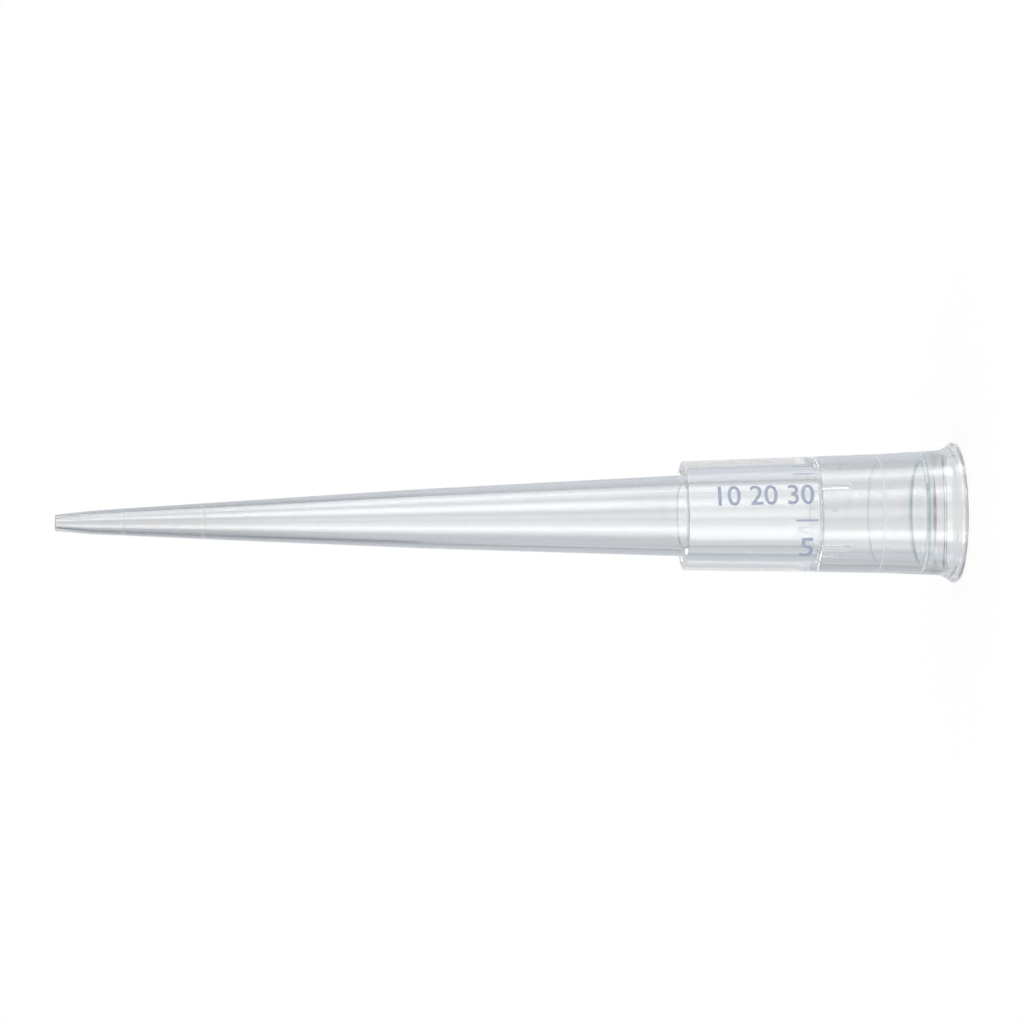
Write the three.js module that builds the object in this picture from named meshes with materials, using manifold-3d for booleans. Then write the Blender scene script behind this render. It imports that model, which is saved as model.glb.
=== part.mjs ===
// A long, fine pipette tip: one injection-moulded piece of natural polypropylene.
// It stands on its wide mouth. The origin is the centre of the mouth's rim, and +Z runs along the axis to
// the orifice. Sizes are in millimetres.

import * as THREE from "three";
import { mergeVertices } from "three/addons/utils/BufferGeometryUtils.js";
import Module from "manifold-3d";

// Outside. Heights are measured from the mouth's rim, and diameters across the outside.
const LENGTH = 45.7;
const SHOULDER_HEIGHT = 14.06; // the flat face where the thin cone leaves the collar
const CONE_BREAK_HEIGHT = 27.35; // the cone tapers faster above this height
const END_STAGE_LENGTH = 1.85; // the last and steepest stretch, up to the orifice
const COLLAR_DIAMETER = 5.5; // at the shoulder
const COLLAR_DRAFT_DEGREES = 1.53; // half angle by which the collar widens toward the mouth
const SKIRT_HEIGHT = 3.95; // below this the collar widens faster, and its bore changes taper too
const SKIRT_DRAFT_DEGREES = 2.9;
const SHOULDER_EDGE_ROUND = 0.06;
const CONE_DIAMETER_AT_SHOULDER = 4.1;
const CONE_DIAMETER_AT_BREAK = 2.98;
const CONE_DIAMETER_AT_END_STAGE = 1.19;
const ORIFICE_OUTER_DIAMETER = 0.81;
const ORIFICE_EDGE_ROUND = 0.04;

// The lip round the mouth, with the flat land that the tip stands on.
const LIP_REACH = 0.345; // how far the lip stands out past the collar
const LIP_ROUND = 0.23;
const FLARE_ROUND = 1.3; // hollow curve from the collar out to the lip
const RIM_LAND_WIDTH = 0.14;
const MOUTH_EDGE_ROUND = 0.12;

// Walls. Each bore radius is the outside radius at its height less the wall there.
const WALL_AT_ORIFICE = 0.2;
const WALL_AT_END_STAGE = 0.2;
const WALL_AT_CONE_BREAK = 0.34;
const WALL_AT_SHOULDER = 0.43;
const WALL_AT_LEDGE = 0.46;
const WALL_AT_SKIRT = 0.46;
const WALL_AT_SEAL_MOUTH = 0.47;

// Inside the collar: a lead-in cone, a small step, the bore that seals on the pipette, and the stop ledge.
const LEAD_IN_DEPTH = 1.53;
const SEAL_STEP_DEPTH = 1.83; // where the straight bit after the lead-in meets the step
const SEAL_STEP = 0.18; // the bore narrows by this radius at the step
const SEAL_STEP_ROUND = 0.1;
const LEDGE_HEIGHT = 7.31; // the flat stop, with the narrow bore through its middle
const LEDGE_CORNER_ROUND = 0.15;
const LEDGE_EDGE_ROUND = 0.06;
const CORE_DRAFT_DEGREES = 0.95; // half angle of the narrow bore between the ledge and the shoulder

// Short ribs that stand in the corner of the ledge and let the pipette's end stop clear of it.
const RIB_COUNT = 5;
const RIB_FIRST_ANGLE_DEGREES = 31.5; // from -Y, turning toward +X
const RIB_WIDTH = 0.36;
const RIB_LENGTH = 1.61;
const RIB_HEIGHT = 0.12;
const RIB_ROOT = 0.12; // how deep a rib is rooted in the wall and the ledge

// Smoothness.
const TURN_SEGMENTS = 64;
const LIP_STEPS = 6;
const EDGE_STEPS = 3;
const RIB_END_STEPS = 6;

const { degToRad, lerp } = THREE.MathUtils;
const point = (radius, height) => new THREE.Vector2(radius, height);

const wasm = await Module();
wasm.setup();

// Radius of the collar's outside, without its lip, at a height. It widens faster in the skirt.
function collarRadius(height) {
  const inCollar = SHOULDER_HEIGHT - Math.max(height, SKIRT_HEIGHT);
  const inSkirt = Math.max(SKIRT_HEIGHT - height, 0);
  const collarGrowth = inCollar * Math.tan(degToRad(COLLAR_DRAFT_DEGREES));
  const skirtGrowth = inSkirt * Math.tan(degToRad(SKIRT_DRAFT_DEGREES));
  return COLLAR_DIAMETER / 2 + collarGrowth + skirtGrowth;
}

// Points of an arc about a centre, both ends included. Angles are in radians, anticlockwise from outward.
function arc(centre, radius, startAngle, endAngle, steps) {
  const points = [];
  for (let step = 0; step <= steps; step += 1) {
    const angle = lerp(startAngle, endAngle, step / steps);
    points.push(point(centre.x + radius * Math.cos(angle), centre.y + radius * Math.sin(angle)));
  }
  return points;
}

// Points that round off a corner between two straight lines.
function roundedCorner(before, corner, after, radius) {
  const back = before.clone().sub(corner).normalize();
  const ahead = after.clone().sub(corner).normalize();
  const halfAngle = Math.acos(back.dot(ahead)) / 2;
  const bisector = back.clone().add(ahead).normalize();
  const centre = corner.clone().addScaledVector(bisector, radius / Math.sin(halfAngle));
  const setback = radius / Math.tan(halfAngle);
  const start = corner.clone().addScaledVector(back, setback).sub(centre).angle();
  const end = corner.clone().addScaledVector(ahead, setback).sub(centre).angle();
  const turn = end - start;
  const shortTurn = turn - Math.PI * 2 * Math.round(turn / (Math.PI * 2));
  return arc(centre, radius, start, start + shortTurn, EDGE_STEPS);
}

// The lip's outer round, and the hollow flare that runs from it into the skirt's straight side.
// The flare touches the skirt's line on one side and the lip's circle on the other.
function lipAndFlare(lipCentre) {
  const draft = degToRad(SKIRT_DRAFT_DEGREES);
  const outward = point(Math.cos(draft), Math.sin(draft));
  const towardMouth = point(Math.sin(draft), -Math.cos(draft));
  const besideLip = point(collarRadius(SKIRT_HEIGHT), SKIRT_HEIGHT).addScaledVector(outward, FLARE_ROUND);
  const offset = besideLip.clone().sub(lipCentre);
  const along = offset.dot(towardMouth);
  const reach = FLARE_ROUND + LIP_ROUND;
  const travel = -along - Math.sqrt(along ** 2 - offset.lengthSq() + reach ** 2);
  const flareCentre = besideLip.addScaledVector(towardMouth, travel);
  const contact = flareCentre.clone().sub(lipCentre).angle();
  const lip = arc(lipCentre, LIP_ROUND, -Math.PI / 2, contact, LIP_STEPS);
  const flare = arc(flareCentre, FLARE_ROUND, contact + Math.PI, draft + Math.PI, LIP_STEPS);
  return [...lip, ...flare.slice(1)];
}

// The half section, as one closed outline of (radius, height): up the outside from the rim to the orifice,
// and back down the bore to the mouth.
function sectionOutline() {
  const lipCentre = point(collarRadius(LIP_ROUND) + LIP_REACH - LIP_ROUND, LIP_ROUND);

  const skirtTop = point(collarRadius(SKIRT_HEIGHT), SKIRT_HEIGHT);
  const shoulderEdge = point(COLLAR_DIAMETER / 2, SHOULDER_HEIGHT);
  const coneFoot = point(CONE_DIAMETER_AT_SHOULDER / 2, SHOULDER_HEIGHT);
  const coneBreak = point(CONE_DIAMETER_AT_BREAK / 2, CONE_BREAK_HEIGHT);
  const endStage = point(CONE_DIAMETER_AT_END_STAGE / 2, LENGTH - END_STAGE_LENGTH);
  const orificeOuter = point(ORIFICE_OUTER_DIAMETER / 2, LENGTH);

  const orificeInner = point(orificeOuter.x - WALL_AT_ORIFICE, LENGTH);
  const boreEndStage = point(endStage.x - WALL_AT_END_STAGE, endStage.y);
  const boreBreak = point(coneBreak.x - WALL_AT_CONE_BREAK, CONE_BREAK_HEIGHT);
  const boreShoulder = point(coneFoot.x - WALL_AT_SHOULDER, SHOULDER_HEIGHT);
  const coreGrowth = (SHOULDER_HEIGHT - LEDGE_HEIGHT) * Math.tan(degToRad(CORE_DRAFT_DEGREES));
  const ledgeEdge = point(boreShoulder.x + coreGrowth, LEDGE_HEIGHT);
  const ledgeCorner = point(collarRadius(LEDGE_HEIGHT) - WALL_AT_LEDGE, LEDGE_HEIGHT);
  const sealBreak = point(skirtTop.x - WALL_AT_SKIRT, SKIRT_HEIGHT);
  const sealMouthHeight = SEAL_STEP_DEPTH + SEAL_STEP;
  const sealMouth = point(collarRadius(sealMouthHeight) - WALL_AT_SEAL_MOUTH, sealMouthHeight);
  const leadInEnd = point(sealMouth.x + SEAL_STEP, LEAD_IN_DEPTH);
  const stepFoot = point(leadInEnd.x, SEAL_STEP_DEPTH);
  const landInner = point(lipCentre.x - RIM_LAND_WIDTH, 0);
  const mouthEdgeCentre = point(landInner.x, MOUTH_EDGE_ROUND);

  const outline = [
    ...lipAndFlare(lipCentre),
    skirtTop,
    ...roundedCorner(skirtTop, shoulderEdge, coneFoot, SHOULDER_EDGE_ROUND),
    coneFoot,
    coneBreak,
    endStage,
    ...roundedCorner(endStage, orificeOuter, orificeInner, ORIFICE_EDGE_ROUND),
    ...roundedCorner(orificeOuter, orificeInner, boreEndStage, ORIFICE_EDGE_ROUND),
    boreEndStage,
    boreBreak,
    boreShoulder,
    ...roundedCorner(boreShoulder, ledgeEdge, ledgeCorner, LEDGE_EDGE_ROUND),
    ...roundedCorner(ledgeEdge, ledgeCorner, sealBreak, LEDGE_CORNER_ROUND),
    sealBreak,
    ...roundedCorner(sealBreak, sealMouth, stepFoot, SEAL_STEP_ROUND),
    stepFoot,
    leadInEnd,
    ...arc(mouthEdgeCentre, MOUTH_EDGE_ROUND, Math.PI, Math.PI * 1.5, EDGE_STEPS),
  ];
  outline.push(outline[0].clone());
  return outline;
}

// A closed mesh as a solid that can be joined.
function solidFrom(geometry) {
  const bare = geometry.clone();
  bare.deleteAttribute("normal");
  bare.deleteAttribute("uv");
  const merged = mergeVertices(bare);
  const vertProperties = new Float32Array(merged.attributes.position.array);
  const triVerts = new Uint32Array(merged.index.array);
  return new wasm.Manifold(new wasm.Mesh({ numProp: 3, vertProperties, triVerts }));
}

function geometryFrom(solid) {
  const mesh = solid.getMesh();
  const geometry = new THREE.BufferGeometry();
  geometry.setAttribute("position", new THREE.BufferAttribute(mesh.vertProperties, 3));
  geometry.setIndex(new THREE.BufferAttribute(mesh.triVerts, 1));
  geometry.computeVertexNormals();
  return geometry;
}

function turnedBody() {
  const geometry = new THREE.LatheGeometry(sectionOutline(), TURN_SEGMENTS);
  geometry.rotateX(Math.PI / 2);
  return geometry;
}

// One rib in the corner of the ledge, at an angle round the axis. Its outline is drawn as seen from the
// axis, with a round end toward the mouth, and is extruded outward into the wall.
function stopRib(angle) {
  const halfWidth = RIB_WIDTH / 2;
  const outline = new THREE.Shape();
  outline.moveTo(halfWidth, RIB_ROOT);
  outline.lineTo(-halfWidth, RIB_ROOT);
  outline.lineTo(-halfWidth, halfWidth - RIB_LENGTH);
  outline.absarc(0, halfWidth - RIB_LENGTH, halfWidth, Math.PI, Math.PI * 2, false);

  const height = RIB_HEIGHT + RIB_ROOT;
  const geometry = new THREE.ExtrudeGeometry(outline, {
    depth: height,
    bevelEnabled: false,
    curveSegments: RIB_END_STEPS,
  });
  const outward = new THREE.Vector3(Math.sin(angle), -Math.cos(angle), 0);
  const up = new THREE.Vector3(0, 0, 1);
  const across = new THREE.Vector3().crossVectors(up, outward);
  const innerFace = collarRadius(LEDGE_HEIGHT) - WALL_AT_LEDGE - RIB_HEIGHT;
  const placement = new THREE.Matrix4().makeBasis(across, up, outward);
  placement.setPosition(outward.multiplyScalar(innerFace).setZ(LEDGE_HEIGHT));
  return geometry.applyMatrix4(placement);
}

function tipGeometry() {
  let solid = solidFrom(turnedBody());
  for (let rib = 0; rib < RIB_COUNT; rib += 1) {
    const angle = degToRad(RIB_FIRST_ANGLE_DEGREES + (360 * rib) / RIB_COUNT);
    solid = solid.add(solidFrom(stopRib(angle)));
  }
  return geometryFrom(solid);
}

const clearPolypropylene = new THREE.MeshStandardMaterial({
  color: "#dfe3e8",
  roughness: 0.25,
  metalness: 0,
  transparent: true,
  opacity: 0.4,
  side: THREE.DoubleSide,
});

const tip = new THREE.Mesh(tipGeometry(), clearPolypropylene);
tip.name = "pipette_tip";

const part = new THREE.Group();
part.add(tip);

export default part;
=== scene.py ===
"""Looks of a long, fine pipette tip of clear natural polypropylene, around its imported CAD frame.

The frame stands the tip on its wide mouth: +Z runs up the axis to the orifice, and -Y faces the camera.
Sizes below are in millimetres and become metres when a mesh is made.
"""

import math

import bmesh
import bpy
from mathutils import Matrix, Vector


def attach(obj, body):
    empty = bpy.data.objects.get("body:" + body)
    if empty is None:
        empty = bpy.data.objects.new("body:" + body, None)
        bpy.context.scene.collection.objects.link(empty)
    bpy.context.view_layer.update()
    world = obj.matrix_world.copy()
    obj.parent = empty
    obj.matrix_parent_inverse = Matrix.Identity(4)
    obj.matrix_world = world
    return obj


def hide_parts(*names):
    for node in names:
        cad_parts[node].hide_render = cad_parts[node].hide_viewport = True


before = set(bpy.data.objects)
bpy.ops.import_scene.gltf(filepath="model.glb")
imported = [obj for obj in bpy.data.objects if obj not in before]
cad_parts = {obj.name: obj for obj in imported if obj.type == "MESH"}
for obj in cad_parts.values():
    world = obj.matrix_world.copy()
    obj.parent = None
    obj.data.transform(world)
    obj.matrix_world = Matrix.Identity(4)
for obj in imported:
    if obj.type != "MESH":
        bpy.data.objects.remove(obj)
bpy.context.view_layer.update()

MM = 0.001

# ---- The tip's section, with the CAD part's sizes --------------------------------------------------------

LENGTH = 45.7
SHOULDER_HEIGHT = 14.06
CONE_BREAK_HEIGHT = 27.35
END_STAGE_LENGTH = 1.85
COLLAR_DIAMETER = 5.5
COLLAR_DRAFT = math.radians(1.53)
SKIRT_HEIGHT = 3.95
SKIRT_DRAFT = math.radians(2.9)
SHOULDER_EDGE_ROUND = 0.06
CONE_DIAMETER_AT_SHOULDER = 4.1
CONE_DIAMETER_AT_BREAK = 2.98
CONE_DIAMETER_AT_END_STAGE = 1.19
ORIFICE_OUTER_DIAMETER = 0.81
ORIFICE_EDGE_ROUND = 0.085  # the CAD part has 0.04; the photo shows a softer edge

LIP_REACH = 0.345
LIP_ROUND = 0.23
FLARE_ROUND = 1.3
RIM_LAND_WIDTH = 0.14
MOUTH_EDGE_ROUND = 0.12

WALL_AT_ORIFICE = 0.2
WALL_AT_END_STAGE = 0.2
WALL_AT_CONE_BREAK = 0.34
WALL_AT_SHOULDER = 0.43
WALL_AT_LEDGE = 0.46
WALL_AT_SEAL_BREAK = 0.46
WALL_AT_SEAL_MOUTH = 0.47

LEAD_IN_DEPTH = 1.53
SEAL_STEP_DEPTH = 1.83
SEAL_STEP = 0.18
SEAL_STEP_ROUND = 0.1
LEDGE_HEIGHT = 7.31
LEDGE_CORNER_ROUND = 0.15
LEDGE_EDGE_ROUND = 0.06
CORE_DRAFT = math.radians(0.95)

RIB_COUNT = 5
RIB_FIRST_ANGLE = math.radians(31.5)  # from -Y, turning toward +X
RIB_WIDTH = 0.36
RIB_LENGTH = 1.61
RIB_HEIGHT = 0.12
RIB_END = 0.4  # length over which a rib's end sinks back into the bore

# Hair-fine rings round the cone, where the mould's inserts meet.
FINE_RING_HEIGHTS = (38.3, 42.3)
FINE_RING_RISE = 0.005
FINE_RING_HALF_WIDTH = 0.07

TURN_SEGMENTS = 256
RIB_STEPS = 8
EDGE_STEPS = 6
LIP_STEPS = 16
SUPPORT = 0.03  # an extra point this near each end of a straight stretch keeps its shading straight


def point(radius, height):
    return Vector((radius, height))


def collar_radius(height):
    """The collar's outside, without its lip. It widens faster in the skirt, next to the mouth."""
    straight = SHOULDER_HEIGHT - max(height, SKIRT_HEIGHT)
    skirt = max(SKIRT_HEIGHT - height, 0)
    return COLLAR_DIAMETER / 2 + straight * math.tan(COLLAR_DRAFT) + skirt * math.tan(SKIRT_DRAFT)


RIB_RADIUS = collar_radius(LEDGE_HEIGHT) - WALL_AT_LEDGE


def angle_of(vector):
    return math.atan2(vector.y, vector.x)


def arc(centre, radius, start, end, steps):
    points = []
    for step in range(steps + 1):
        angle = start + (end - start) * step / steps
        points.append(centre + radius * Vector((math.cos(angle), math.sin(angle))))
    return points


def rounded_corner(before, corner, after, radius):
    back = (before - corner).normalized()
    ahead = (after - corner).normalized()
    half_angle = math.acos(back.dot(ahead)) / 2
    centre = corner + (back + ahead).normalized() * radius / math.sin(half_angle)
    setback = radius / math.tan(half_angle)
    start = angle_of(corner + back * setback - centre)
    turn = angle_of(corner + ahead * setback - centre) - start
    turn -= math.tau * round(turn / math.tau)
    return arc(centre, radius, start, start + turn, EDGE_STEPS)


def lip_and_flare(lip_centre):
    """The lip's round and the hollow flare between it and the collar, each touching the next."""
    outward = Vector((math.cos(SKIRT_DRAFT), math.sin(SKIRT_DRAFT)))
    toward_mouth = Vector((math.sin(SKIRT_DRAFT), -math.cos(SKIRT_DRAFT)))
    beside_lip = point(collar_radius(SKIRT_HEIGHT), SKIRT_HEIGHT) + outward * FLARE_ROUND
    offset = beside_lip - lip_centre
    along = offset.dot(toward_mouth)
    reach = FLARE_ROUND + LIP_ROUND
    travel = -along - math.sqrt(along**2 - offset.length_squared + reach**2)
    flare_centre = beside_lip + toward_mouth * travel
    contact = angle_of(flare_centre - lip_centre)
    lip = arc(lip_centre, LIP_ROUND, -math.pi / 2, contact, LIP_STEPS)
    flare = arc(flare_centre, FLARE_ROUND, contact + math.pi, SKIRT_DRAFT + math.pi, LIP_STEPS)
    return lip + flare[1:]


def section_outline():
    """The closed half section: up the outside from the rim to the orifice, and back down the bore."""
    lip_centre = point(collar_radius(LIP_ROUND) + LIP_REACH - LIP_ROUND, LIP_ROUND)

    skirt_top = point(collar_radius(SKIRT_HEIGHT), SKIRT_HEIGHT)
    shoulder_edge = point(COLLAR_DIAMETER / 2, SHOULDER_HEIGHT)
    cone_foot = point(CONE_DIAMETER_AT_SHOULDER / 2, SHOULDER_HEIGHT)
    cone_break = point(CONE_DIAMETER_AT_BREAK / 2, CONE_BREAK_HEIGHT)
    end_stage = point(CONE_DIAMETER_AT_END_STAGE / 2, LENGTH - END_STAGE_LENGTH)
    orifice_outer = point(ORIFICE_OUTER_DIAMETER / 2, LENGTH)

    orifice_inner = point(orifice_outer.x - WALL_AT_ORIFICE, LENGTH)
    bore_end_stage = point(end_stage.x - WALL_AT_END_STAGE, end_stage.y)
    bore_break = point(cone_break.x - WALL_AT_CONE_BREAK, CONE_BREAK_HEIGHT)
    bore_shoulder = point(cone_foot.x - WALL_AT_SHOULDER, SHOULDER_HEIGHT)
    core_growth = (SHOULDER_HEIGHT - LEDGE_HEIGHT) * math.tan(CORE_DRAFT)
    ledge_edge = point(bore_shoulder.x + core_growth, LEDGE_HEIGHT)
    ledge_corner = point(collar_radius(LEDGE_HEIGHT) - WALL_AT_LEDGE, LEDGE_HEIGHT)
    seal_break = point(collar_radius(SKIRT_HEIGHT) - WALL_AT_SEAL_BREAK, SKIRT_HEIGHT)
    seal_mouth_height = SEAL_STEP_DEPTH + SEAL_STEP
    seal_mouth = point(collar_radius(seal_mouth_height) - WALL_AT_SEAL_MOUTH, seal_mouth_height)
    lead_in_end = point(seal_mouth.x + SEAL_STEP, LEAD_IN_DEPTH)
    step_foot = point(lead_in_end.x, SEAL_STEP_DEPTH)
    land_inner = point(lip_centre.x - RIM_LAND_WIDTH, 0)
    mouth_edge_centre = point(land_inner.x, MOUTH_EDGE_ROUND)

    outline = lip_and_flare(lip_centre)
    outline += [skirt_top]
    outline += rounded_corner(skirt_top, shoulder_edge, cone_foot, SHOULDER_EDGE_ROUND)
    outline += [cone_foot, cone_break]
    for height in FINE_RING_HEIGHTS:
        outline += fine_ring(cone_break, end_stage, height)
    outline += [end_stage]
    outline += rounded_corner(end_stage, orifice_outer, orifice_inner, ORIFICE_EDGE_ROUND)
    outline += rounded_corner(orifice_outer, orifice_inner, bore_end_stage, ORIFICE_EDGE_ROUND)
    outline += [bore_end_stage, bore_break, bore_shoulder]
    outline += rounded_corner(bore_shoulder, ledge_edge, ledge_corner, LEDGE_EDGE_ROUND)
    outline += rounded_corner(ledge_edge, ledge_corner, seal_break, LEDGE_CORNER_ROUND)
    outline += rib_stations(ledge_corner, seal_break)
    outline += [seal_break]
    outline += rounded_corner(seal_break, seal_mouth, step_foot, SEAL_STEP_ROUND)
    outline += [step_foot, lead_in_end]
    outline += arc(mouth_edge_centre, MOUTH_EDGE_ROUND, math.pi, math.pi * 1.5, EDGE_STEPS)
    return supported(outline)


def fine_ring(below, above, height):
    """Four points that raise a hair-fine ring on the straight side between two points."""
    points = []
    for step, rise in ((-1, 0), (-0.4, FINE_RING_RISE), (0.4, FINE_RING_RISE), (1, 0)):
        place = height + step * FINE_RING_HALF_WIDTH
        spot = below.lerp(above, (place - below.y) / (above.y - below.y))
        points.append(point(spot.x + rise, place))
    return points


def rib_stations(upper, lower):
    """Points down the sealing bore for the ribs' sides, closer together round a rib's end."""
    end = LEDGE_HEIGHT - RIB_LENGTH
    depths = [LEDGE_HEIGHT - LEDGE_CORNER_ROUND * 2, LEDGE_HEIGHT - RIB_LENGTH / 2]
    depths += [end + RIB_END * step / RIB_STEPS for step in range(RIB_STEPS + 2, -3, -1)]
    return [upper.lerp(lower, (upper.y - depth) / (upper.y - lower.y)) for depth in depths]


def supported(outline):
    """The closed outline with a point near each end of every straight stretch."""
    result = []
    for here, after in zip(outline, outline[1:] + outline[:1]):
        result.append(here)
        run = after - here
        if run.length > 4 * SUPPORT:
            result.append(here + run.normalized() * SUPPORT)
            result.append(after - run.normalized() * SUPPORT)
    return result


def turn_angles():
    """Angles of the turned body's sections from -Y toward +X: even ones, and closer ones across each rib."""
    offsets = [RIB_WIDTH / 2 * step / RIB_STEPS for step in range(-RIB_STEPS - 3, RIB_STEPS + 4)]
    angles = [
        RIB_FIRST_ANGLE + math.tau * rib / RIB_COUNT + offset / RIB_RADIUS
        for rib in range(RIB_COUNT)
        for offset in offsets
    ]
    for segment in range(TURN_SEGMENTS):
        angle = math.tau * segment / TURN_SEGMENTS
        if off_rib(angle) > RIB_WIDTH:
            angles.append(angle)
    return sorted(angle % math.tau for angle in angles)


def off_rib(angle):
    """Distance along the sealing bore from an angle to the middle of the nearest rib."""
    spacing = math.tau / RIB_COUNT
    turn = (angle - RIB_FIRST_ANGLE + spacing / 2) % spacing - spacing / 2
    return abs(turn) * RIB_RADIUS


def rib_inset(corner, angle):
    """How far a rib pushes a point of the sealing bore toward the axis."""
    inmost = RIB_RADIUS - LEDGE_CORNER_ROUND - SUPPORT
    on_bore = inmost < corner.x < collar_radius(corner.y) - WALL_AT_LEDGE / 2
    if not on_bore or not LEDGE_HEIGHT - RIB_LENGTH - RIB_WIDTH < corner.y < LEDGE_HEIGHT + SUPPORT:
        return 0
    past_end = max(LEDGE_HEIGHT - RIB_LENGTH + RIB_END - corner.y, 0) * RIB_WIDTH / 2 / RIB_END
    share = max(1 - math.hypot(off_rib(angle), past_end) / (RIB_WIDTH / 2), 0)
    return RIB_HEIGHT * share * share * (3 - 2 * share)


def turned_mesh(name, outline):
    """The closed outline turned once round the Z axis, with the stop ribs raised on its bore."""
    vertices = []
    angles = turn_angles()
    for angle in angles:
        for corner in outline:
            radius = corner.x - rib_inset(corner, angle)
            vertices.append((radius * math.sin(angle) * MM, -radius * math.cos(angle) * MM, corner.y * MM))
    count = len(outline)
    faces = []
    for section in range(len(angles)):
        here = section * count
        beside = (section + 1) % len(angles) * count
        for index in range(count):
            after = (index + 1) % count
            faces.append((here + index, beside + index, beside + after, here + after))
    mesh = bpy.data.meshes.new(name)
    mesh.from_pydata(vertices, [], faces)
    mesh.shade_smooth()
    return mesh


# ---- Materials --------------------------------------------------------------------------------------------


def calculate(tree, operation, *values):
    node = tree.nodes.new("ShaderNodeMath")
    node.operation = operation
    for slot, value in enumerate(values):
        if isinstance(value, (int, float)):
            node.inputs[slot].default_value = value
        else:
            tree.links.new(value, node.inputs[slot])
    return node.outputs["Value"]


def stretched_noise(tree, across, along, detail):
    """Noise whose features are this many millimetres across and along the tip's axis."""
    place = tree.nodes.new("ShaderNodeTexCoord")
    mapping = tree.nodes.new("ShaderNodeMapping")
    mapping.inputs["Scale"].default_value = (1 / (across * MM), 1 / (across * MM), 1 / (along * MM))
    noise = tree.nodes.new("ShaderNodeTexNoise")
    noise.inputs["Scale"].default_value = 1
    noise.inputs["Detail"].default_value = detail
    tree.links.new(place.outputs["Object"], mapping.inputs["Vector"])
    tree.links.new(mapping.outputs["Vector"], noise.inputs["Vector"])
    return noise.outputs["Fac"]


def add_bump(tree, height, depth, after=None):
    """A bump of this depth in millimetres, on top of an earlier one."""
    bump = tree.nodes.new("ShaderNodeBump")
    bump.inputs["Strength"].default_value = 1
    bump.inputs["Distance"].default_value = depth * MM
    tree.links.new(height, bump.inputs["Height"])
    if after:
        tree.links.new(after, bump.inputs["Normal"])
    return bump.outputs["Normal"]


def spread(tree, source, lowest, highest):
    """A noise value spread over a range."""
    node = tree.nodes.new("ShaderNodeMapRange")
    node.inputs["From Min"].default_value = 0.3
    node.inputs["From Max"].default_value = 0.7
    node.inputs["To Min"].default_value = lowest
    node.inputs["To Max"].default_value = highest
    tree.links.new(source, node.inputs["Value"])
    return node.outputs["Result"]


def coordinates(tree, kind):
    """X, Y and Z of a kind of texture coordinate."""
    place = tree.nodes.new("ShaderNodeTexCoord")
    split = tree.nodes.new("ShaderNodeSeparateXYZ")
    tree.links.new(place.outputs[kind], split.inputs["Vector"])
    return split.outputs


def away_from(tree, height):
    """Distance in metres along the tip's axis from a height in millimetres."""
    along = calculate(tree, "SUBTRACT", coordinates(tree, "Object")["Z"], height * MM)
    return calculate(tree, "ABSOLUTE", along)


def inside_heights(tree, low, high):
    """1 between two heights, and 0 above and below them."""
    return calculate(tree, "LESS_THAN", away_from(tree, (low + high) / 2), (high - low) / 2 * MM)


def ring_share(tree, height, half_width, share):
    """The given share at the middle of a ring round the tip, falling to none at its edges."""
    inside = calculate(tree, "DIVIDE", away_from(tree, height), half_width * MM)
    inside = calculate(tree, "MAXIMUM", calculate(tree, "SUBTRACT", 1, inside), 0)
    return calculate(tree, "MULTIPLY", inside, share)


def blend(tree, share, first, second):
    """The first colour, turning into the second as the share goes from 0 to 1."""
    node = tree.nodes.new("ShaderNodeMix")
    node.data_type = "VECTOR"
    tree.links.new(share, node.inputs["Factor"])
    for slot, value in (("A", first), ("B", second)):
        if isinstance(value, tuple):
            node.inputs[slot].default_value = value
        else:
            tree.links.new(value, node.inputs[slot])
    return node.outputs["Result"]


def mixed_shaders(tree, share, first, second):
    """The first shader, turning into the second as the share goes from 0 to 1."""
    mix = tree.nodes.new("ShaderNodeMixShader")
    if isinstance(share, (int, float)):
        mix.inputs["Fac"].default_value = share
    else:
        tree.links.new(share, mix.inputs["Fac"])
    tree.links.new(first, mix.inputs[1])
    tree.links.new(second, mix.inputs[2])
    return mix.outputs["Shader"]


def new_material(name):
    material = bpy.data.materials.new(name)
    material.use_nodes = True
    return material


WALL_COLOUR = (0.87, 0.874, 0.88)
THICK_WALL_COLOUR = (0.93, 0.934, 0.94)  # the slow-cooled wall between ledge and shoulder is clearer
STEP_PAINTED_SHADE = (0.46, 0.62, 0.66)  # painted shade: a thin dark teal line of this colour runs round the seal's step, for the dark line its sloped face shows
STEP_PAINTED_SHADE_REACH = 0.14
WALL_IOR = 1.49
WALL_TRANSMISSION = 0.98

# The wall's relief: noise of this width across the axis, length along it and detail, and this deep.
RELIEF = {
    "slow waves": (1.1, 9, 1, 0.003),
    "drawn lines": (0.16, 12, 2, 0.0002),
    "rings round the axis": (30, 0.35, 3, 0.0002),
}
HAZE_SIZE = (0.7, 4, 3)  # its width, length and detail
HAZE_ROUGHNESS = (0.015, 0.06)

# Light that was reflected this often, or has met this many surfaces, is trapped in the wall. It leaves
# through the wall's haze, because the renderer stops counting there.
TRAPPED_REFLECTIONS = 4
TRAPPED_DEPTH = 9

# Faint frosted rings where the mould's inserts meet: height, half width and how much light they scatter.
FROSTED_RINGS = ((4.18, 0.09, 0.36), (FINE_RING_HEIGHTS[0], 0.2, 0.14), (FINE_RING_HEIGHTS[1], 0.12, 0.16))
FROST_COLOUR = (0.92, 0.92, 0.92, 1)


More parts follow.
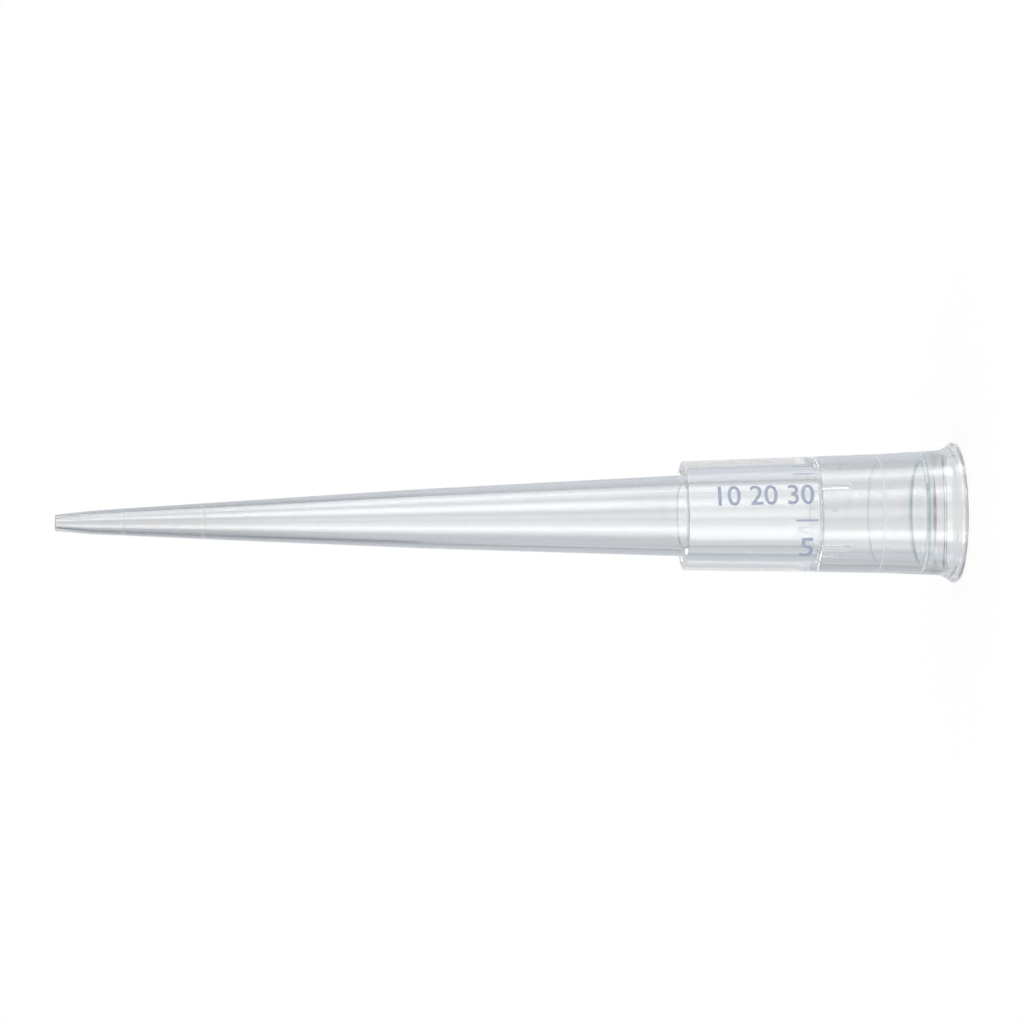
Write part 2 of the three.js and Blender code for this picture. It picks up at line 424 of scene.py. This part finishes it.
def leaving_trapped_light(tree, wall):
    """The wall's shader, with trapped light let out."""
    path = tree.nodes.new("ShaderNodeLightPath").outputs
    trapped = calculate(tree, "GREATER_THAN", path["Glossy Depth"], TRAPPED_REFLECTIONS - 0.5)
    lost = calculate(tree, "GREATER_THAN", path["Ray Depth"], TRAPPED_DEPTH - 0.5)
    escape = tree.nodes.new("ShaderNodeBsdfTranslucent")
    escape.inputs["Color"].default_value = (*WALL_COLOUR, 1)
    return mixed_shaders(tree, calculate(tree, "MAXIMUM", trapped, lost), wall, escape.outputs["BSDF"])


def frosted_in_rings(tree, wall):
    """The wall's shader, with frosted rings where light meets it from the air."""
    frost = tree.nodes.new("ShaderNodeBsdfDiffuse")
    frost.inputs["Color"].default_value = FROST_COLOUR
    frosted = 0
    for height, half_width, share in FROSTED_RINGS:
        frosted = calculate(tree, "MAXIMUM", frosted, ring_share(tree, height, half_width, share))
    from_air = calculate(tree, "SUBTRACT", 1, tree.nodes.new("ShaderNodeNewGeometry").outputs["Backfacing"])
    return mixed_shaders(tree, calculate(tree, "MULTIPLY", frosted, from_air), wall, frost.outputs["BSDF"])


def clear_polypropylene():
    """Natural polypropylene: clear, faintly hazy, with drawn lines along the flow and a slow waviness."""
    material = new_material("clear_polypropylene")
    tree = material.node_tree
    shader = tree.nodes["Principled BSDF"]
    shader.inputs["Base Color"].default_value = (*WALL_COLOUR, 1)
    thick = inside_heights(tree, LEDGE_HEIGHT, SHOULDER_HEIGHT)
    colour = blend(tree, thick, WALL_COLOUR, THICK_WALL_COLOUR)
    # Painted shade: the base colour turns dark teal in a thin ring round the seal's step, where its sloped
    # face looks dark.
    step = ring_share(tree, SEAL_STEP_DEPTH + SEAL_STEP / 2, STEP_PAINTED_SHADE_REACH, 1)
    tree.links.new(blend(tree, step, colour, STEP_PAINTED_SHADE), shader.inputs["Base Color"])
    shader.inputs["IOR"].default_value = WALL_IOR
    shader.inputs["Transmission Weight"].default_value = WALL_TRANSMISSION
    normal = None
    for across, along, detail, depth in RELIEF.values():
        normal = add_bump(tree, stretched_noise(tree, across, along, detail), depth, normal)
    tree.links.new(normal, shader.inputs["Normal"])
    haze = stretched_noise(tree, *HAZE_SIZE)
    tree.links.new(spread(tree, haze, *HAZE_ROUGHNESS), shader.inputs["Roughness"])
    wall = leaving_trapped_light(tree, shader.outputs["BSDF"])
    surface = tree.nodes["Material Output"].inputs["Surface"]
    tree.links.new(frosted_in_rings(tree, wall), surface)
    return material


INK_COLOUR = (0.44, 0.49, 0.64, 1)
INK_ROUGHNESS = (0.45, 0.7)
INK_COVER = (0.62, 0.85)
INK_RELIEF = 0.002
INK_GRAIN = 0.09


def blue_ink():
    """Thin pad-printed ink: uneven cover, soft sheen."""
    material = new_material("printed_marks")
    tree = material.node_tree
    shader = tree.nodes["Principled BSDF"]
    shader.inputs["Base Color"].default_value = INK_COLOUR
    grain = stretched_noise(tree, INK_GRAIN, INK_GRAIN, 3)
    tree.links.new(spread(tree, grain, *INK_ROUGHNESS), shader.inputs["Roughness"])
    tree.links.new(spread(tree, grain, *INK_COVER), shader.inputs["Alpha"])
    tree.links.new(add_bump(tree, grain, INK_RELIEF), shader.inputs["Normal"])
    return material


# ---- The tip and its print --------------------------------------------------------------------------------


def make_tip():
    body = bpy.data.objects.new("tip_body", turned_mesh("tip_body", section_outline()))
    bpy.context.scene.collection.objects.link(body)
    body.data.materials.append(clear_polypropylene())
    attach(body, "root")
    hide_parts("pipette_tip")


INK_GAP = 0.003
INK_THICKNESS = 0.006
INK_CUT = 0.12  # flat print is cut this fine before it is bent round the collar
LETTER_STEPS = 6
LETTER_BOLDNESS = 0.008


def bent_on_collar(shape, height, azimuth):
    """Bends a flat shape onto the collar: its X runs toward the mouth and its Y round toward +X."""
    lows = min(vertex.co.y for vertex in shape.verts)
    highs = max(vertex.co.y for vertex in shape.verts)
    for cut in range(1, math.ceil((highs - lows) / INK_CUT)):
        geometry = shape.verts[:] + shape.edges[:] + shape.faces[:]
        cut_point = (0, lows + cut * INK_CUT, 0)
        bmesh.ops.bisect_plane(shape, geom=geometry, plane_co=cut_point, plane_no=(0, 1, 0))
    for vertex in shape.verts:
        place = height - vertex.co.x
        radius = collar_radius(place) + INK_GAP
        angle = azimuth + vertex.co.y / radius
        vertex.co = Vector((radius * math.sin(angle), -radius * math.cos(angle), place)) * MM
    shape.normal_update()
    bmesh.ops.solidify(shape, geom=shape.faces[:], thickness=-INK_THICKNESS * MM)


def flat_text(text, width, height):
    """Plain text centred on the origin, brought to this width and height."""
    curve = bpy.data.curves.new("text", "FONT")
    curve.body = text
    curve.resolution_u = LETTER_STEPS
    curve.offset = LETTER_BOLDNESS
    holder = bpy.data.objects.new("text", curve)
    mesh = bpy.data.meshes.new_from_object(holder)
    shape = bmesh.new()
    shape.from_mesh(mesh)
    xs = [vertex.co.x for vertex in shape.verts]
    ys = [vertex.co.y for vertex in shape.verts]
    for vertex in shape.verts:
        vertex.co.x = ((vertex.co.x - min(xs)) / (max(xs) - min(xs)) - 0.5) * width
        vertex.co.y = ((vertex.co.y - min(ys)) / (max(ys) - min(ys)) - 0.5) * height
    bpy.data.objects.remove(holder)
    bpy.data.curves.remove(curve)
    bpy.data.meshes.remove(mesh)
    return shape


def flat_dash(length, width):
    shape = bmesh.new()
    corners = ((-0.5, -0.5), (0.5, -0.5), (0.5, 0.5), (-0.5, 0.5))
    shape.faces.new([shape.verts.new((length * x, width * y, 0)) for x, y in corners])
    return shape


def make_print(name, shape, height, azimuth, ink):
    """One mark at a height up the collar and at an angle in degrees round it, from -Y toward +X."""
    bent_on_collar(shape, height, math.radians(azimuth))
    mesh = bpy.data.meshes.new(name)
    shape.to_mesh(mesh)
    shape.free()
    mark = bpy.data.objects.new(name, mesh)
    bpy.context.scene.collection.objects.link(mark)
    mark.data.materials.append(ink)
    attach(mark, "root")


def make_prints():
    """Generic print: a row of plain numbers, one digit and three level marks."""
    ink = blue_ink()
    make_print("print_numbers", flat_text("10 20 30", 4.85, 1.05), 10.15, 20.5, ink)
    make_print("print_digit", flat_text("5", 0.68, 1.12), 8.1, -35, ink)
    make_print("print_mark_low", flat_dash(1.12, 0.105), 8.12, -6, ink)
    make_print("print_mark_middle", flat_dash(1.05, 0.06), 8.15, 44.5, ink)
    make_print("print_mark_high", flat_dash(1.05, 0.06), 8.15, 55.8, ink)


# ---- Camera -----------------------------------------------------------------------------------------------

CAMERA_DISTANCE = 277.5
CAMERA_ELEVATION = math.radians(5.4)
CAMERA_ROLL = math.radians(-0.65)
AIM_HEIGHT = 22.72
AIM_ASIDE = 0.285
SENSOR_WIDTH = 36
FOCAL_LENGTH = 193.43
CLIP_START = 10


def make_camera():
    data = bpy.data.cameras.new("camera")
    data.sensor_width = SENSOR_WIDTH
    data.lens = FOCAL_LENGTH
    data.clip_start = CLIP_START * MM
    camera = bpy.data.objects.new("camera", data)
    back = Vector((0, -math.cos(CAMERA_ELEVATION), math.sin(CAMERA_ELEVATION)))
    up = Vector((1, 0, 0))
    right = up.cross(back)
    place = Vector((AIM_ASIDE, 0, AIM_HEIGHT)) + back * CAMERA_DISTANCE
    turn = Matrix((right, up, back)).transposed().to_4x4() @ Matrix.Rotation(CAMERA_ROLL, 4, "Z")
    camera.matrix_world = Matrix.Translation(place * MM) @ turn
    bpy.context.scene.collection.objects.link(camera)
    bpy.context.scene.camera = camera


# ---- Studio -----------------------------------------------------------------------------------------------

# Soft lights that stand round the tip, parallel to it. Each has a place in degrees round the axis, from the
# camera's side toward +X, half its width and the softness of its edges, also in degrees, its strength above
# and below the edge height, its tint, and whether it shows through the plastic or in its reflections.
# Most of these numbers weren't chosen by hand: a scratch program fitted soft lights to the photo's
# brightness, and most places, widths, strengths and tints are its results, as they came, rounded, or
# changed a little by hand.
NEUTRAL = (1, 1, 1)
COOL = (0.98, 1, 1.02)
BLUISH = (0.95, 1, 1.06)
WARM = (1.03, 1, 0.96)
LIGHTS = {
    "front wall": (344, 72, 144, 0.7, 0.86, COOL, "through"),
    "front strip": (3, 10, 16, 1.9, 2.4, WARM, "reflected"),
    "upper fill": (34, 14, 16, 3.0, 1.2, NEUTRAL, "reflected"),
    "upper softbox": (65, 25, 8, 2.1, 1.1, NEUTRAL, "reflected"),
    "upper softbox's core": (86, 10, 8, 3.7, 2.6, COOL, "reflected"),
    "back wall": (164, 72, 144, 0.71, 0.875, COOL, "through"),
    "dim back wall": (164, 72, 144, 0.61, 0.75, BLUISH, "reflected"),
    "lower back card": (242, 15, 12, 0.0, 0.35, COOL, "reflected"),
    "cool card": (268, 8, 4, 1.4, 0.9, (0.8, 1, 1.25), "reflected"),
    "lower card": (293, 9, 10, 0.05, 1.2, COOL, "reflected"),
    "lower softbox": (315, 10, 16, 6.0, 5.8, NEUTRAL, "reflected"),
    "lower fill": (337, 12, 20, 3.4, 2.2, WARM, "reflected"),
}
# Degrees above the horizon: the edge between a light's two strengths, and where all lights end, up and down.
EDGE_HEIGHT = -3
EDGE_SOFTNESS = 2
LIGHT_TOP = 32
LIGHT_TOP_SOFTNESS = 8
CEILING = (0.35, 0.35, 0.35)  # what the plastic shows past the lights' ends
PLAIN_LEVEL = (1, 1, 1)  # what lights a matte surface, so that its colour shows as it is

FLOOR_RADIUS = 70
FLOOR_SEGMENTS = 96
FLOOR_COLOUR = (0.9, 0.9, 0.9, 1)
FLOOR_ROUGHNESS = 0.9
FLOOR_GLOW = 1.02
FLOOR_GLOW_SHARE = 0.86


def soft_step(tree, value, edge, softness):
    """1 below the edge and 0 above it, with a smooth fall as wide as the softness between them."""
    node = tree.nodes.new("ShaderNodeMapRange")
    node.interpolation_type = "SMOOTHSTEP"
    node.inputs["From Min"].default_value = edge + softness / 2
    node.inputs["From Max"].default_value = edge - softness / 2
    tree.links.new(value, node.inputs["Value"])
    return node.outputs["Result"]


def tinted_light(tree, tint, strength):
    node = tree.nodes.new("ShaderNodeVectorMath")
    node.operation = "SCALE"
    node.inputs["Vector"].default_value = tint
    tree.links.new(strength, node.inputs["Scale"])
    return node.outputs["Vector"]


def added(tree, first, second):
    node = tree.nodes.new("ShaderNodeVectorMath")
    node.operation = "ADD"
    tree.links.new(first, node.inputs[0])
    tree.links.new(second, node.inputs[1])
    return node.outputs["Vector"]


def make_world():
    """White to the camera, plain light for matte surfaces, and a ring of soft lights for clear ones."""
    world = bpy.data.worlds.new("studio")
    world.use_nodes = True
    bpy.context.scene.world = world
    tree = world.node_tree
    direction = coordinates(tree, "Generated")
    toward_camera = calculate(tree, "MULTIPLY", direction["Y"], -1)
    azimuth = calculate(tree, "DEGREES", calculate(tree, "ARCTAN2", direction["X"], toward_camera))
    height = calculate(tree, "DEGREES", calculate(tree, "ARCSINE", direction["Z"]))
    below = soft_step(tree, height, EDGE_HEIGHT, EDGE_SOFTNESS)
    path = tree.nodes.new("ShaderNodeLightPath").outputs
    reflected = calculate(tree, "GREATER_THAN", path["Glossy Depth"], 0.5)
    shown = {"reflected": reflected, "through": calculate(tree, "SUBTRACT", 1, reflected)}
    studio = None
    for centre, half_width, softness, above_strength, below_strength, tint, shows in LIGHTS.values():
        away = calculate(tree, "WRAP", calculate(tree, "SUBTRACT", azimuth, centre), -180, 180)
        inside = soft_step(tree, calculate(tree, "ABSOLUTE", away), half_width, softness)
        strength = calculate(tree, "MULTIPLY_ADD", below, below_strength - above_strength, above_strength)
        strength = calculate(tree, "MULTIPLY", calculate(tree, "MULTIPLY", inside, strength), shown[shows])
        light = tinted_light(tree, tint, strength)
        studio = added(tree, studio, light) if studio else light
    in_height = soft_step(tree, calculate(tree, "ABSOLUTE", height), LIGHT_TOP, LIGHT_TOP_SOFTNESS)
    shiny = calculate(tree, "MAXIMUM", path["Is Glossy Ray"], path["Is Transmission Ray"])
    shiny = calculate(tree, "SUBTRACT", shiny, path["Is Diffuse Ray"])
    surroundings = blend(tree, in_height, CEILING, studio)
    surroundings = blend(tree, shiny, PLAIN_LEVEL, surroundings)
    background = tree.nodes["Background"]
    tree.links.new(blend(tree, path["Is Camera Ray"], surroundings, NEUTRAL), background.inputs["Color"])


def make_floor():
    """A pale floor that keeps a faint shadow. The plastic looks past it, at the white studio."""
    shape = bmesh.new()
    bmesh.ops.create_circle(shape, cap_ends=True, segments=FLOOR_SEGMENTS, radius=FLOOR_RADIUS * MM)
    mesh = bpy.data.meshes.new("floor")
    shape.to_mesh(mesh)
    shape.free()
    floor = bpy.data.objects.new("floor", mesh)
    bpy.context.scene.collection.objects.link(floor)
    material = new_material("floor_white")
    tree = material.node_tree
    paint = tree.nodes["Principled BSDF"]
    paint.inputs["Base Color"].default_value = FLOOR_COLOUR
    paint.inputs["Roughness"].default_value = FLOOR_ROUGHNESS
    paint.inputs["Specular IOR Level"].default_value = 0
    glow = tree.nodes.new("ShaderNodeEmission")
    glow.inputs["Strength"].default_value = FLOOR_GLOW
    look = mixed_shaders(tree, FLOOR_GLOW_SHARE, paint.outputs["BSDF"], glow.outputs["Emission"])
    tree.links.new(look, tree.nodes["Material Output"].inputs["Surface"])
    floor.data.materials.append(material)
    floor.visible_glossy = False
    floor.visible_transmission = False
    floor.visible_diffuse = False


make_tip()
make_prints()
make_camera()
make_world()
make_floor()
bpy.context.scene.view_settings.view_transform = "Standard"
